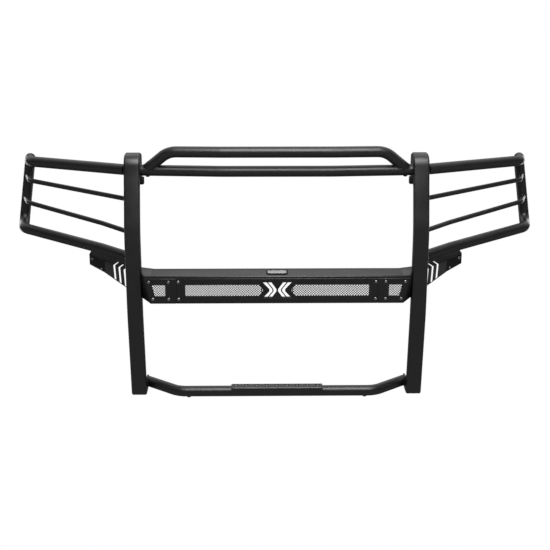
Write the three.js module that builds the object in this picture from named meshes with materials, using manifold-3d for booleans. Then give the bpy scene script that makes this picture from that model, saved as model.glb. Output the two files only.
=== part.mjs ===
// Front grille guard for a full-size pickup truck, in millimetres, +Z up.
//
// The truck is on the +Y side, so the guard's front looks along -Y, and the guard is symmetric about X = 0.
// The pieces are drawn in the guard's own working frame: y = 0 is the front face of the uprights' middle
// stretch and z = 0 is the bottom of their feet. The last step moves everything so that the origin lies
// midway between the two frame brackets' mounting faces.

import * as THREE from 'three';
import { mergeVertices } from 'three/addons/utils/BufferGeometryUtils.js';
import { ConvexGeometry } from 'three/addons/geometries/ConvexGeometry.js';
import Module from 'manifold-3d';

const wasm = await Module();
wasm.setup();

// ---------------------------------------------------------------- driving dimensions

const GAP = 0.3;                       // clearance between neighbouring pieces
const SHEET = 3;                       // folded sheet of the light bar, the pods and the step plate

const TUBE_RADIUS = 19.05;             // 1.5 in tube
const TUBE_WALL = 2.4;
const TUBE_SIDES = 16;
const BORE_SIDES = 10;
const ROD_RADIUS = 8.4;                // solid rod
const ROD_SIDES = 10;

const UPRIGHT_X = 498.4;               // middle of the upright's width
const UPRIGHT_WIDTH = 54.6;
const UPRIGHT_WALL = 5;
const UPRIGHT_EDGE = 6;                // rounding of its long edges
const UPRIGHT_TOP = 874.5;
const UPRIGHT_FLANGE = 22;             // depth of the channel between the ears
const LOW_BEND_Z = 325;                // below it the upright sweeps back
const HIGH_BEND_Z = 615;               // above it the upright leans back
const LOW_SWEEP = Math.tan(THREE.MathUtils.degToRad(6.9));
const HIGH_LEAN = Math.tan(THREE.MathUtils.degToRad(14.3));
const BEND_REACH = 40;                 // half the height over which each bend is spread
const TOP_EAR = { bottom: 772, rear: 142, roll: 42, corner: 20 };
const FOOT_EAR = { top: 62, rear: 130, corner: 35, step: 14 };

const WEB_THICKNESS = 6;
const WEB = { bottom: 125, top: 861.5, rear: 125 };

const BRACKET = { bottom: 130, top: 290, front: 45, face: 150, thickness: 6, flange: 40, hole: 6.6 };
const BRACKET_HOLE_Z = [165, 255];
const BRACKET_HOLE_Y = 85;
const BRACKET_SLOT_Z = [152, 268];     // holes for the truck's own bolts

const CROSS_Z = 819;
const HOOP_Z = 890;
const STEP_Z = 37.5;
const STEP_Y = -10;

const WING_INNER = { x: 528, y: 98 };  // a point of the wing's swept plane
const WING_SWEEP = 0.475;              // mm back for each mm outward
const WING_BEND = 45;
const WING_CORNER = { top: 889, bottom: 931 };  // x of the front corners
const WING_REAR = { topX: 911, topY: 378, bottomX: 948, bottomY: 372, bottomZ: 572 };

const STEP_PLATE = { halfLength: 162.5, drop: 10, behind: 11, pitch: 36.4, hole: 6, fold: 8 };

const BAR = { front: -46.7, back: 52, floorBack: 22, bottom: 377.5, top: 475.5, end: 434, fold: 5 };
const PANEL = { front: -50, thickness: 3, bottom: 378, top: 467.5, seam: 346.5, seamGap: 1.6 };
const PANEL_SCREW_Z = [394, 455];
const WINDOW = { inner: 50, outer: 316, bottom: 405, top: 444.5, chamfer: 12, tip: 9 };
const SIDE_WINDOW = { inner: 385, outerTop: 430, outerBottom: 421.5, bottom: 405, top: 444.5 };
const MESH_THICKNESS = 1.5;

// The pod's face starts at innerX, innerY and sweeps back going outward. Its upper edge, the fold, rises outward
// through foldX, foldZ. The lower edge has a kink, where the removable panel starts.
const POD = {
  innerX: 528, innerY: 95, sweep: 0.7,
  foldX: 589, foldZ: 468.5, foldSlope: 0.238,
  kinkX: 623, kinkZ: 431.5, lowSlope: 0.475, end: 681, endZ: 450,
  depth: 95, slot: 7, slotReach: 66, slotLean: 9, slotFoot: 3, rim: 2.5,
};
const POD_SLOTS = [586, 566, 546];     // outer edge of each slot at the fold
const POD_SCREWS = [[633, 443.5], [669, 474]];

const SCREW = { radius: 3, head: 5.5, headHeight: 3, length: 9, hole: 3.4 };

// ---------------------------------------------------------------- finishes

const FINISHES = {
  coat: { color: 0x1b1b1c, roughness: 0.45, metalness: 0.1 },
  coatDark: { color: 0x121213, roughness: 0.55, metalness: 0.1 },
  mesh: { color: 0x0e0e0f, roughness: 0.5, metalness: 0.3 },
  fastener: { color: 0x2a2a2b, roughness: 0.35, metalness: 0.8 },
  plastic: { color: 0x101010, roughness: 0.6, metalness: 0 },
};

// ---------------------------------------------------------------- solids

const vec = (x, y, z) => new THREE.Vector3(x, y, z);

function toSolid(geometry) {
  const bare = geometry.clone();
  bare.deleteAttribute('normal');
  bare.deleteAttribute('uv');
  const merged = mergeVertices(bare, 1e-4);
  return new wasm.Manifold(new wasm.Mesh({
    numProp: 3,
    vertProperties: new Float32Array(merged.attributes.position.array),
    triVerts: new Uint32Array(merged.index.array),
  }));
}

function toGeometry(solid) {
  const mesh = solid.getMesh();
  const geometry = new THREE.BufferGeometry();
  geometry.setAttribute('position', new THREE.BufferAttribute(new Float32Array(mesh.vertProperties), 3));
  geometry.setIndex(new THREE.BufferAttribute(new Uint32Array(mesh.triVerts), 1));
  return geometry;
}

function mirrored(geometry) {
  const twin = geometry.clone();
  twin.scale(-1, 1, 1);
  const index = twin.index.array;
  for (let i = 0; i < index.length; i += 3) {
    [index[i], index[i + 1]] = [index[i + 1], index[i]];
  }
  return twin;
}

function polygon(points) {
  return new THREE.Shape(points.map(([u, v]) => new THREE.Vector2(u, v)));
}

function circle(radius, sides, u = 0, v = 0) {
  const points = [];
  for (let i = 0; i < sides; i += 1) {
    const angle = (2 * Math.PI * (i + 0.5)) / sides;
    points.push([u + radius * Math.cos(angle), v + radius * Math.sin(angle)]);
  }
  return points;
}

// A prism whose outline lies in the plane of the unit vectors u and v, grown from start to end along u x v.
function prism(shape, u, v, start, end, options = {}) {
  const bevel = options.bevel ?? 0;
  const geometry = new THREE.ExtrudeGeometry(shape, {
    depth: end - start - 2 * bevel,
    curveSegments: options.curveSegments ?? 4,
    bevelEnabled: bevel > 0,
    bevelThickness: bevel,
    bevelSize: bevel,
    bevelOffset: -bevel,
    bevelSegments: 3,
  });
  const normal = u.clone().cross(v);
  geometry.translate(0, 0, start + bevel);
  geometry.applyMatrix4(new THREE.Matrix4().makeBasis(u, v, normal));
  return toSolid(geometry);
}

const alongX = (shape, start, end, options) => prism(shape, vec(0, 1, 0), vec(0, 0, 1), start, end, options);
const alongZ = (shape, start, end, options) => prism(shape, vec(1, 0, 0), vec(0, 1, 0), start, end, options);

// Outline in x and z, with the thickness running from front to back.
function plateXZ(points, front, back) {
  const shape = polygon(points.map(([x, z]) => [-x, z]));
  return prism(shape, vec(-1, 0, 0), vec(0, 0, 1), front, back);
}

// The same, with a list of openings cut right through.
function piercedXZ(points, openings, front, back) {
  let plate = plateXZ(points, front, back);
  for (const opening of openings) {
    plate = plate.subtract(plateXZ(opening, front - 5, back + 5));
  }
  return plate;
}

function block(x0, x1, y0, y1, z0, z1) {
  const geometry = new THREE.BoxGeometry(x1 - x0, y1 - y0, z1 - z0);
  geometry.translate((x0 + x1) / 2, (y0 + y1) / 2, (z0 + z1) / 2);
  return toSolid(geometry);
}

function hull(points) {
  return toSolid(new ConvexGeometry(points));
}

// ---------------------------------------------------------------- bent tubes

// A centre line that visits a list of stations, each with its own direction.
class StationCurve extends THREE.Curve {
  constructor(stations) {
    super();
    this.stations = stations;
  }

  stationAt(u) {
    return this.stations[Math.round(u * (this.stations.length - 1))];
  }

  getPointAt(u) {
    return this.stationAt(u).point.clone();
  }

  getTangentAt(u) {
    return this.stationAt(u).direction.clone();
  }
}

// Straight runs between the vertices, with an arc of the given radius at each inner one.
function bentStations(vertices, bendRadius, degreesPerStep = 15) {
  const first = vertices[1].clone().sub(vertices[0]).normalize();
  const stations = [{ point: vertices[0].clone(), direction: first }];
  for (let i = 1; i < vertices.length - 1; i += 1) {
    const into = vertices[i].clone().sub(vertices[i - 1]).normalize();
    const out = vertices[i + 1].clone().sub(vertices[i]).normalize();
    const turn = into.angleTo(out);
    const axis = into.clone().cross(out).normalize();
    const reach = bendRadius * Math.tan(turn / 2);
    const start = vertices[i].clone().addScaledVector(into, -reach);
    const toCentre = axis.clone().cross(into).normalize();
    const centre = start.clone().addScaledVector(toCentre, bendRadius);
    const steps = Math.max(1, Math.ceil(THREE.MathUtils.radToDeg(turn) / degreesPerStep));
    for (let k = 0; k <= steps; k += 1) {
      const angle = (turn * k) / steps;
      const arm = start.clone().sub(centre).applyAxisAngle(axis, angle);
      stations.push({
        point: centre.clone().add(arm),
        direction: into.clone().applyAxisAngle(axis, angle),
      });
    }
  }
  const last = vertices[vertices.length - 1];
  const lastDirection = last.clone().sub(vertices[vertices.length - 2]).normalize();
  stations.push({ point: last.clone(), direction: lastDirection });
  return stations;
}

function sweep(stations, radius, sides) {
  const geometry = new THREE.ExtrudeGeometry(polygon(circle(radius, sides)), {
    steps: stations.length - 1,
    extrudePath: new StationCurve(stations),
    bevelEnabled: false,
  });
  return toSolid(geometry);
}

function lengthened(stations, extra) {
  const copy = stations.map(({ point, direction }) => ({ point: point.clone(), direction }));
  copy[0].point.addScaledVector(copy[0].direction, -extra);
  copy[copy.length - 1].point.addScaledVector(copy[copy.length - 1].direction, extra);
  return copy;
}

function hollowTube(stations) {
  const bore = sweep(lengthened(stations, 1), TUBE_RADIUS - TUBE_WALL, BORE_SIDES);
  return sweep(stations, TUBE_RADIUS, TUBE_SIDES).subtract(bore);
}

function oversizeTube(stations) {
  return sweep(lengthened(stations, 1), TUBE_RADIUS + GAP + 0.1, TUBE_SIDES);
}

// ---------------------------------------------------------------- uprights

// Front face of the upright as seen from the side.
function frontY(z) {
  if (z < LOW_BEND_Z) return (LOW_BEND_Z - z) * LOW_SWEEP;
  if (z > HIGH_BEND_Z) return (z - HIGH_BEND_Z) * HIGH_LEAN;
  return 0;
}

// The front line from the foot to the top, set back by the given amount.
function frontLine(shape, inset) {
  const lineTo = (z) => shape.lineTo(frontY(z) + inset, z);
  lineTo(LOW_BEND_Z - BEND_REACH);
  const lowEnd = LOW_BEND_Z + BEND_REACH;
  shape.quadraticCurveTo(inset, LOW_BEND_Z, inset, lowEnd);
  lineTo(HIGH_BEND_Z - BEND_REACH);
  const highEnd = HIGH_BEND_Z + BEND_REACH;
  shape.quadraticCurveTo(inset, HIGH_BEND_Z, frontY(highEnd) + inset, highEnd);
}

function uprightOutline() {
  const shape = new THREE.Shape();
  const toeRound = 10;
  const roll = TOP_EAR.roll;
  const rear = (z) => frontY(z) + UPRIGHT_FLANGE;
  shape.moveTo(frontY(0) + toeRound, 0);
  shape.quadraticCurveTo(frontY(0), 0, frontY(toeRound), toeRound);
  frontLine(shape, 0);
  shape.lineTo(frontY(UPRIGHT_TOP - roll), UPRIGHT_TOP - roll);
  const topFront = frontY(UPRIGHT_TOP - roll / 2);
  shape.quadraticCurveTo(topFront, UPRIGHT_TOP, topFront + roll, UPRIGHT_TOP);
  shape.lineTo(TOP_EAR.rear - TOP_EAR.corner, UPRIGHT_TOP);
  shape.quadraticCurveTo(TOP_EAR.rear, UPRIGHT_TOP, TOP_EAR.rear, UPRIGHT_TOP - TOP_EAR.corner);
  shape.lineTo(TOP_EAR.rear, TOP_EAR.bottom + TOP_EAR.corner);
  shape.quadraticCurveTo(TOP_EAR.rear, TOP_EAR.bottom, TOP_EAR.rear - TOP_EAR.corner, TOP_EAR.bottom);
  shape.lineTo(rear(TOP_EAR.bottom), TOP_EAR.bottom);
  shape.lineTo(UPRIGHT_FLANGE, HIGH_BEND_Z);
  shape.lineTo(UPRIGHT_FLANGE, LOW_BEND_Z);
  shape.lineTo(rear(FOOT_EAR.top), FOOT_EAR.top);
  shape.lineTo(FOOT_EAR.rear, FOOT_EAR.top - FOOT_EAR.step);
  shape.lineTo(FOOT_EAR.rear, FOOT_EAR.corner);
  shape.quadraticCurveTo(FOOT_EAR.rear, 0, FOOT_EAR.rear - FOOT_EAR.corner, 0);
  shape.closePath();
  return shape;
}

// The channel's hollow, open along the whole back.
function uprightHollow() {
  const shape = new THREE.Shape();
  const behind = 200;
  const floor = UPRIGHT_WALL;
  const roof = UPRIGHT_TOP - UPRIGHT_WALL;
  const roll = TOP_EAR.roll - UPRIGHT_WALL;
  shape.moveTo(behind, floor);
  shape.lineTo(frontY(floor) + UPRIGHT_WALL, floor);
  frontLine(shape, UPRIGHT_WALL);
  const topFront = frontY(roof - roll / 2) + UPRIGHT_WALL;
  shape.lineTo(frontY(roof - roll) + UPRIGHT_WALL, roof - roll);
  shape.quadraticCurveTo(topFront, roof, topFront + roll, roof);
  shape.lineTo(behind, roof);
  shape.closePath();
  return shape;
}

function upright() {
  const half = UPRIGHT_WIDTH / 2;
  const outer = alongX(uprightOutline(), UPRIGHT_X - half, UPRIGHT_X + half, { bevel: UPRIGHT_EDGE });
  const inside = half - UPRIGHT_WALL;
  return outer.subtract(alongX(uprightHollow(), UPRIGHT_X - inside, UPRIGHT_X + inside));
}

// Vertical plate down the middle of the channel. The wing, the pod and the frame bracket join it.
function webPlate() {
  const shape = new THREE.Shape();
  const inset = UPRIGHT_WALL + 1;
  const shoulder = WEB.top - TOP_EAR.roll;
  shape.moveTo(WEB.rear, WEB.bottom);
  shape.lineTo(frontY(WEB.bottom) + inset, WEB.bottom);
  frontLine(shape, inset);
  shape.lineTo(frontY(shoulder) + inset, shoulder);
  shape.lineTo(frontY(WEB.top) + TOP_EAR.roll, WEB.top);
  shape.lineTo(WEB.rear, WEB.top);
  shape.closePath();
  for (const z of BRACKET_HOLE_Z) {
    shape.holes.push(polygon(circle(BRACKET.hole, 12, BRACKET_HOLE_Y, z)));
  }
  return alongX(shape, UPRIGHT_X - WEB_THICKNESS / 2, UPRIGHT_X + WEB_THICKNESS / 2);
}

const webOuterX = UPRIGHT_X + WEB_THICKNESS / 2 + GAP;

function frameBracket() {
  const legEnd = webOuterX + BRACKET.thickness;
  const leg = polygon([
    [BRACKET.front, BRACKET.bottom + 25],
    [BRACKET.front + 25, BRACKET.bottom],
    [BRACKET.face, BRACKET.bottom],
    [BRACKET.face, BRACKET.top],
    [BRACKET.front + 25, BRACKET.top],
    [BRACKET.front, BRACKET.top - 25],
  ]);
  for (const z of BRACKET_HOLE_Z) {
    leg.holes.push(polygon(circle(BRACKET.hole, 12, BRACKET_HOLE_Y, z)));
  }
  const plate = alongX(leg, webOuterX, legEnd);
  const backX = webOuterX + BRACKET.flange;
  const flange = [
    [webOuterX, BRACKET.bottom],
    [backX, BRACKET.bottom],
    [backX, BRACKET.top],
    [webOuterX, BRACKET.top],
  ];
  const holes = BRACKET_SLOT_Z.map((z) => circle(BRACKET.hole, 12, backX - 15, z));
  return plate.add(piercedXZ(flange, holes, BRACKET.face - BRACKET.thickness, BRACKET.face));
}

// Hex bolt along X through the web plate and the bracket's leg, with its nut.
function bracketBolt(z) {
  const along = (shape, start, end) => alongX(shape, start, end);
  const headStart = webOuterX + BRACKET.thickness + GAP;
  const nutEnd = webOuterX - WEB_THICKNESS - 2 * GAP;
  const at = (radius, sides) => polygon(circle(radius, sides, BRACKET_HOLE_Y, z));
  const head = along(at(10.4, 6), headStart, headStart + 7.5);
  const shank = along(at(6, 12), nutEnd - 10, headStart + 1);
  const nut = along(at(10.4, 6), nutEnd - 9, nutEnd);
  return head.add(shank).add(nut);
}

// ---------------------------------------------------------------- tubes between the uprights

const earInnerX = UPRIGHT_X - UPRIGHT_WIDTH / 2 - GAP;
const beyondEar = (solid) => solid
  .subtract(block(earInnerX, 700, -300, 400, -100, 1000))
  .subtract(block(-700, -earInnerX, -300, 400, -100, 1000));

function mirroredVertices(half) {
  const left = half.map(({ x, y, z }) => vec(-x, y, z)).reverse();
  return [...left, ...half];
}

const crossHalf = [vec(190, 60, CROSS_Z), vec(480, 86, CROSS_Z)];
const crossStations = bentStations(mirroredVertices(crossHalf), 300, 6);

function crossTube() {
  return beyondEar(hollowTube(crossStations));
}

// The raised hoop: a bowed top run and two legs that land on the cross tube.
function topHoopTube() {
  const half = [vec(190, 30, HOOP_Z), vec(371, 52, HOOP_Z - 2), vec(447, 83, CROSS_Z + 5)];
  const tube = hollowTube(bentStations(mirroredVertices(half), 80));
  return beyondEar(tube.subtract(oversizeTube(crossStations)));
}

function stepTube() {
  const half = [vec(350, STEP_Y, STEP_Z), vec(482, 100, STEP_Z)];
  return beyondEar(hollowTube(bentStations(mirroredVertices(half), 76)));
}

// Folded plate over the step tube, with a row of traction holes along its top.
function stepPlate() {
  const { halfLength, drop, behind, pitch, hole, fold } = STEP_PLATE;
  const clear = TUBE_RADIUS + GAP;
  const top = STEP_Z + clear + SHEET;
  const bottom = STEP_Z - drop;
  const front = STEP_Y - clear - SHEET;
  const back = STEP_Y + behind;
  const shape = new THREE.Shape();
  shape.moveTo(front, bottom);
  shape.lineTo(front, top - fold);
  shape.quadraticCurveTo(front, top, front + fold, top);
  shape.lineTo(back, top);
  shape.lineTo(back, top - SHEET);
  shape.lineTo(front + fold, top - SHEET);
  shape.quadraticCurveTo(front + SHEET, top - SHEET, front + SHEET, top - fold);
  shape.lineTo(front + SHEET, bottom);
  shape.closePath();
  let plate = alongX(shape, -halfLength, halfLength);
  for (let i = -4; i <= 4; i += 1) {
    plate = plate.subtract(alongZ(polygon(circle(hole, 10, i * pitch, STEP_Y)), top - 10, top + 10));
  }
  return plate;
}

function upperTab() {
  const width = 13.5;
  return block(earInnerX - width, earInnerX, 68, 74, 771.8, CROSS_Z - TUBE_RADIUS - 2 * GAP);
}

function drainPlug(x, y, tubeZ) {
  const top = tubeZ - TUBE_RADIUS - GAP;
  return alongZ(polygon(circle(7, 12, x, y)), top - 3.5, top);
}

// ---------------------------------------------------------------- light bar

// A chevron slot that points towards the middle, with its tip flattened.
function chevron({ tip, notch, inner, outer }) {
  const { bottom, top } = CHEVRON_Z;
  const middle = (top + bottom) / 2;
  const flat = 4;
  return [
    [inner, top],
    [outer, top],
    [notch, middle + flat],
    [notch, middle - flat],
    [outer, bottom],
    [inner, bottom],
    [tip, middle - flat],
    [tip, middle + flat],
  ];
}

const CHEVRONS = [
  { tip: 3, notch: 12.7, inner: 20.2, outer: 31.7 },
  { tip: 17, notch: 27, inner: 36.4, outer: 49.6 },
];
const CHEVRON_Z = { bottom: 397, top: 453 };

function windowOutline() {
  const { inner, outer, bottom, top, chamfer, tip } = WINDOW;
  const middle = (bottom + top) / 2;
  return [
    [inner + chamfer, top],
    [outer, top],
    [outer, bottom],
    [inner + chamfer, bottom],
    [inner, middle - tip / 2],
    [inner, middle + tip / 2],
  ];
}

const flip = (points) => points.map(([x, z]) => [-x, z]);
const screwHole = (x, z) => circle(SCREW.hole, 8, x, z);

function barHousing() {
  const { front, back, floorBack, bottom, top, end, fold } = BAR;
  const lip = 12;
  const outer = new THREE.Shape();
  outer.moveTo(front, bottom);
  outer.lineTo(front, top - fold);
  outer.quadraticCurveTo(front, top, front + fold, top);
  outer.lineTo(back, top);
  outer.lineTo(back, top - lip);
  outer.lineTo(back - SHEET, top - lip);
  outer.lineTo(back - SHEET, top - SHEET);
  outer.lineTo(front + SHEET, top - SHEET);
  outer.lineTo(front + SHEET, bottom + SHEET);
  outer.lineTo(floorBack, bottom + SHEET);
  outer.lineTo(floorBack, bottom);
  outer.closePath();
  let housing = alongX(outer, -end, end);
  const cut = (x0, x1, z0, z1) => {
    housing = housing.subtract(block(x0, x1, front - 5, front + SHEET + 5, z0, z1));
  };
  for (const side of [-1, 1]) {
    const span = (a, b) => (side > 0 ? [a, b] : [-b, -a]);
    cut(...span(55, WINDOW.outer + 4), WINDOW.bottom - 3, WINDOW.top + 3);
    cut(...span(SIDE_WINDOW.inner - 4, end + 5), SIDE_WINDOW.bottom - 2, SIDE_WINDOW.top + 2);
    for (const [x, z] of HOUSING_SCREWS) {
      housing = housing.subtract(plateXZ(screwHole(side * x, z), front - 5, front + SHEET + 5));
    }
  }
  cut(-51, 51, CHEVRON_Z.bottom - 2, CHEVRON_Z.top + 2);
  return housing;
}

const SIDE_SCREWS = [[373.5, 455], [441, 455], [373.5, 394], [428, 394]];
const CENTRE_SCREWS = PANEL_SCREW_Z.map((z) => [339.5, z]);
const HOUSING_SCREWS = [...CENTRE_SCREWS, SIDE_SCREWS[0], SIDE_SCREWS[2], SIDE_SCREWS[3]];

function centrePanel() {
  const edge = PANEL.seam - PANEL.seamGap / 2;
  const outline = [
    [-edge, PANEL.bottom],
    [edge, PANEL.bottom],
    [edge, PANEL.top],
    [-edge, PANEL.top],
  ];
  const openings = [windowOutline(), ...CHEVRONS.map(chevron)];
  for (const [x, z] of CENTRE_SCREWS) {
    openings.push(screwHole(x, z));
  }
  openings.push(...openings.map(flip));
  return piercedXZ(outline, openings, PANEL.front, PANEL.front + PANEL.thickness);
}

function sidePanel() {
  const edge = PANEL.seam + PANEL.seamGap / 2;
  const outline = [
    [edge, PANEL.bottom],
    [436, PANEL.bottom],
    [457.5, PANEL.top],
    [edge, PANEL.top],
  ];
  const { inner, outerTop, outerBottom, bottom, top } = SIDE_WINDOW;
  const openings = [[[inner, bottom], [outerBottom, bottom], [outerTop, top], [inner, top]]];
  for (const [x, z] of SIDE_SCREWS) {
    openings.push(screwHole(x, z));
  }
  return piercedXZ(outline, openings, PANEL.front, PANEL.front + PANEL.thickness);
}

const meshFront = BAR.front + SHEET + GAP;

function centreMesh() {
  const clear = 5;
  const outline = [
    [52.5, WINDOW.bottom - clear],
    [WINDOW.outer + clear, WINDOW.bottom - clear],
    [WINDOW.outer + clear, WINDOW.top + clear],
    [52.5, WINDOW.top + clear],
  ];
  return plateXZ(outline, meshFront, meshFront + MESH_THICKNESS);
}

function sideMesh() {
  const clear = 4;
  const outline = [
    [SIDE_WINDOW.inner - clear, SIDE_WINDOW.bottom - 2],
    [SIDE_WINDOW.outerTop + 2, SIDE_WINDOW.bottom - 2],
    [SIDE_WINDOW.outerTop + 2, SIDE_WINDOW.top + clear],
    [SIDE_WINDOW.inner - clear, SIDE_WINDOW.top + clear],
  ];
  return plateXZ(outline, meshFront, meshFront + MESH_THICKNESS);
}

// Folded end piece from the housing to the upright: a top, a bottom and a slanted front, open behind.
function housingEnd() {
  const { front, back, bottom, top, end } = BAR;
  const start = end + GAP;
  const rearX = UPRIGHT_X - WEB_THICKNESS / 2 - GAP;
  const rearY = back + 26;
  const outer = hull([
    vec(start, front, top), vec(458, front, top), vec(earInnerX, -5, top),
    vec(rearX, rearY, top), vec(start, back, top),
    vec(start, front, bottom), vec(436.5, front, bottom), vec(earInnerX, 18, bottom),
    vec(rearX, rearY, bottom), vec(start, back, bottom),
  ]);
  const inside = 120;
  const inner = hull([
    vec(start - 5, front + SHEET, top - SHEET), vec(454.5, front + SHEET, top - SHEET),
    vec(earInnerX - SHEET, -5, top - SHEET), vec(rearX - SHEET, inside, top - SHEET),
    vec(start - 5, inside, top - SHEET),
    vec(start - 5, front + SHEET, bottom + SHEET), vec(433.5, front + SHEET, bottom + SHEET),
    vec(earInnerX - SHEET, 18, bottom + SHEET), vec(rearX - SHEET, inside, bottom + SHEET),
    vec(start - 5, inside, bottom + SHEET),
  ]);
  const uprightRoom = block(earInnerX, 600, -100, UPRIGHT_FLANGE + 2 * GAP, 0, 900);
  const [screwX, screwZ] = SIDE_SCREWS[1];
  const hole = plateXZ(screwHole(screwX, screwZ), front - 5, front + SHEET + 5);
  return outer.subtract(inner).subtract(uprightRoom).subtract(hole);
}

function badgePlate() {
  const halfWidth = 37.5;
  const middleY = -2.5;
  const halfDepth = 29;
  return block(-halfWidth, halfWidth, middleY - halfDepth, middleY + halfDepth, BAR.top + GAP, BAR.top + GAP + 2);
}

// ---------------------------------------------------------------- wings

const wingY = (x) => WING_INNER.y + (x - WING_INNER.x) * WING_SWEEP;
const onWing = (x, z) => vec(x, wingY(x), z);

const wingRear = {
  top: vec(WING_REAR.topX, WING_REAR.topY, CROSS_Z),
  bottom: vec(WING_REAR.bottomX, WING_REAR.bottomY, WING_REAR.bottomZ),
};
const wingStations = bentStations([
  onWing(505, CROSS_Z),
  onWing(WING_CORNER.top, CROSS_Z),
  wingRear.top,
  wingRear.bottom,
  onWing(WING_CORNER.bottom, 567),
  onWing(625, 525),
  onWing(webOuterX - 5, 501.8),
], WING_BEND);

const outsideOf = (solid, x) => solid.subtract(block(-100, x, -300, 600, -100, 1000));

function wingHoop() {
  const earOuterX = UPRIGHT_X + UPRIGHT_WIDTH / 2 + GAP;
  const tube = outsideOf(hollowTube(wingStations), webOuterX);
  return tube.subtract(block(0, earOuterX, 0, 600, CROSS_Z - 60, CROSS_Z + 60));
}

function wingRod(vertices) {
  const last = vertices[vertices.length - 1];
  const along = (last - wingRear.top.z) / (wingRear.bottom.z - wingRear.top.z);
  const target = wingRear.top.clone().lerp(wingRear.bottom, along);
  const path = [...vertices.slice(0, -1).map(([x, z]) => onWing(x, z)), target];
  const rod = sweep(bentStations(path, 30), ROD_RADIUS, ROD_SIDES);
  return outsideOf(rod, webOuterX).subtract(oversizeTube(wingStations));
}

const wingRodUpper = () => wingRod([[webOuterX - 5, 714], [896, 748.5], 750]);
const wingRodLower = () => wingRod([[webOuterX - 5, 594.6], [620, 619], [907, 665.5], 667]);

// ---------------------------------------------------------------- pods

// The pod's pieces are drawn facing straight ahead and then sheared, so that the face sweeps back going outward.
const podShear = new THREE.Matrix4().set(
  1, 0, 0, 0,
  POD.sweep, 1, 0, POD.innerY - POD.innerX * POD.sweep,
  0, 0, 1, 0,
  0, 0, 0, 1,
);

function sheared(solid) {
  const geometry = toGeometry(solid);
  geometry.applyMatrix4(podShear);
  return toSolid(geometry);
}

const podFold = (x) => POD.foldZ + (x - POD.foldX) * POD.foldSlope;

const podLow = (x) => POD.kinkZ + (x - POD.kinkX) * POD.lowSlope;

function podOutline() {
  return [
    [webOuterX, podLow(webOuterX)],
    [POD.kinkX, POD.kinkZ],
    [POD.end, POD.endZ],
    [POD.end, podFold(POD.end)],
    [webOuterX, podFold(webOuterX)],
  ];
}

// The shell has a face, a top and an outer end; it is open behind and below.
function podShell() {
  const drop = 20;
  const faceDepth = SHEET * 1.2;
  const room = [
    [webOuterX - 5, 300],
    [POD.end - SHEET, POD.endZ - drop],
    [POD.end - SHEET, podFold(POD.end - SHEET) - SHEET],
    [webOuterX - 5, podFold(webOuterX - 5) - SHEET],
  ];
  return plateXZ(podOutline(), 0, POD.depth).subtract(plateXZ(room, faceDepth, POD.depth + 5));
}

// A slot whose lower arm ends in a thin rim at the face's lower edge and whose upper arm crosses the top.
function podSlot(x) {
  const fold = podFold(x);
  const { slot, slotReach: reach, slotLean: lean, slotFoot: foot, rim } = POD;
  const face = [
    [x, fold + 5], [x - slot, fold + 5], [x - slot, fold - 5],
    [x - slot - foot, podLow(x - slot - foot) + rim], [x - foot, podLow(x - foot) + rim], [x, fold - 5],
  ];
  const top = [
    [x, -5], [x, 2], [x - lean, reach - 10], [x - slot - lean, reach],
    [x - slot, 2], [x - slot, -5],
  ];
  return plateXZ(face, -5, SHEET * 1.2 + 2).add(alongZ(polygon(top), fold - 12, fold + 12));
}

const podBack = vec(-POD.sweep, 1, 0).normalize();
const podScrewSeat = ([x, z]) => vec(x, POD.innerY + (x - POD.innerX) * POD.sweep - GAP * 1.3 - SHEET, z);

// Square to the face, so it is cut after the shear.
function podScrewHole(place) {
  const along = vec(0, 0, 1).cross(podBack);
  const seat = podScrewSeat(place);
  const start = seat.dot(podBack);
  const centreU = seat.dot(along);
  return prism(polygon(circle(SCREW.hole, 8, centreU, seat.z)), along, vec(0, 0, 1), start - 5, start + 15);
}

function podPanelOutline(margin) {
  const inner = POD.kinkX + margin;
  const outer = POD.end - margin;
  return [
    [inner, POD.kinkZ + 1 + margin],
    [outer, POD.endZ + 1 + margin],
    [outer, podFold(outer) - margin],
    [inner, podFold(inner) - margin],
  ];
}

function podHousing() {
  let shell = podShell().subtract(plateXZ(podPanelOutline(11), -5, SHEET * 1.2 + 2));
  for (const x of POD_SLOTS) {
    shell = shell.subtract(podSlot(x));
  }
  return POD_SCREWS.reduce((body, place) => body.subtract(podScrewHole(place)), sheared(shell));
}

// Removable plate over the pod's outer end.
function podPanel() {
  const panel = plateXZ(podPanelOutline(0), -GAP * 1.3 - SHEET, -GAP * 1.3);
  return POD_SCREWS.reduce((body, place) => body.subtract(podScrewHole(place)), sheared(panel));
}

// ---------------------------------------------------------------- screws

// Button-head screw: its head rests on a face at the given point and its shank runs along the direction.
function buttonScrew(seat, direction) {
  const { radius, head, headHeight, length } = SCREW;
  const profile = [
    [0, length], [radius, length], [radius, -GAP], [head, -GAP],
    [head, -GAP - headHeight * 0.45], [head * 0.62, -GAP - headHeight], [0, -GAP - headHeight],
  ].map(([r, h]) => new THREE.Vector2(r, h));
  const geometry = new THREE.LatheGeometry(profile.reverse(), 12);
  const turn = new THREE.Quaternion().setFromUnitVectors(vec(0, 1, 0), direction);
  geometry.applyQuaternion(turn);
  geometry.translate(seat.x, seat.y, seat.z);
  return toSolid(geometry);
}

const panelScrew = ([x, z]) => buttonScrew(vec(x, PANEL.front, z), vec(0, 1, 0));
const podScrew = (place) => buttonScrew(podScrewSeat(place), podBack);

// ---------------------------------------------------------------- assembly

const guard = new THREE.Group();
guard.name = 'grille_guard';
const placed = new THREE.Group();
placed.position.set(0, -BRACKET.face, -(BRACKET.bottom + BRACKET.top) / 2);
guard.add(placed);

function addMesh(name, geometry, finish) {
  const mesh = new THREE.Mesh(geometry, new THREE.MeshStandardMaterial(FINISHES[finish]));
  mesh.name = name;
  placed.add(mesh);
}

function addPiece(name, solid, finish) {
  addMesh(name, toGeometry(solid), finish);
}

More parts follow.
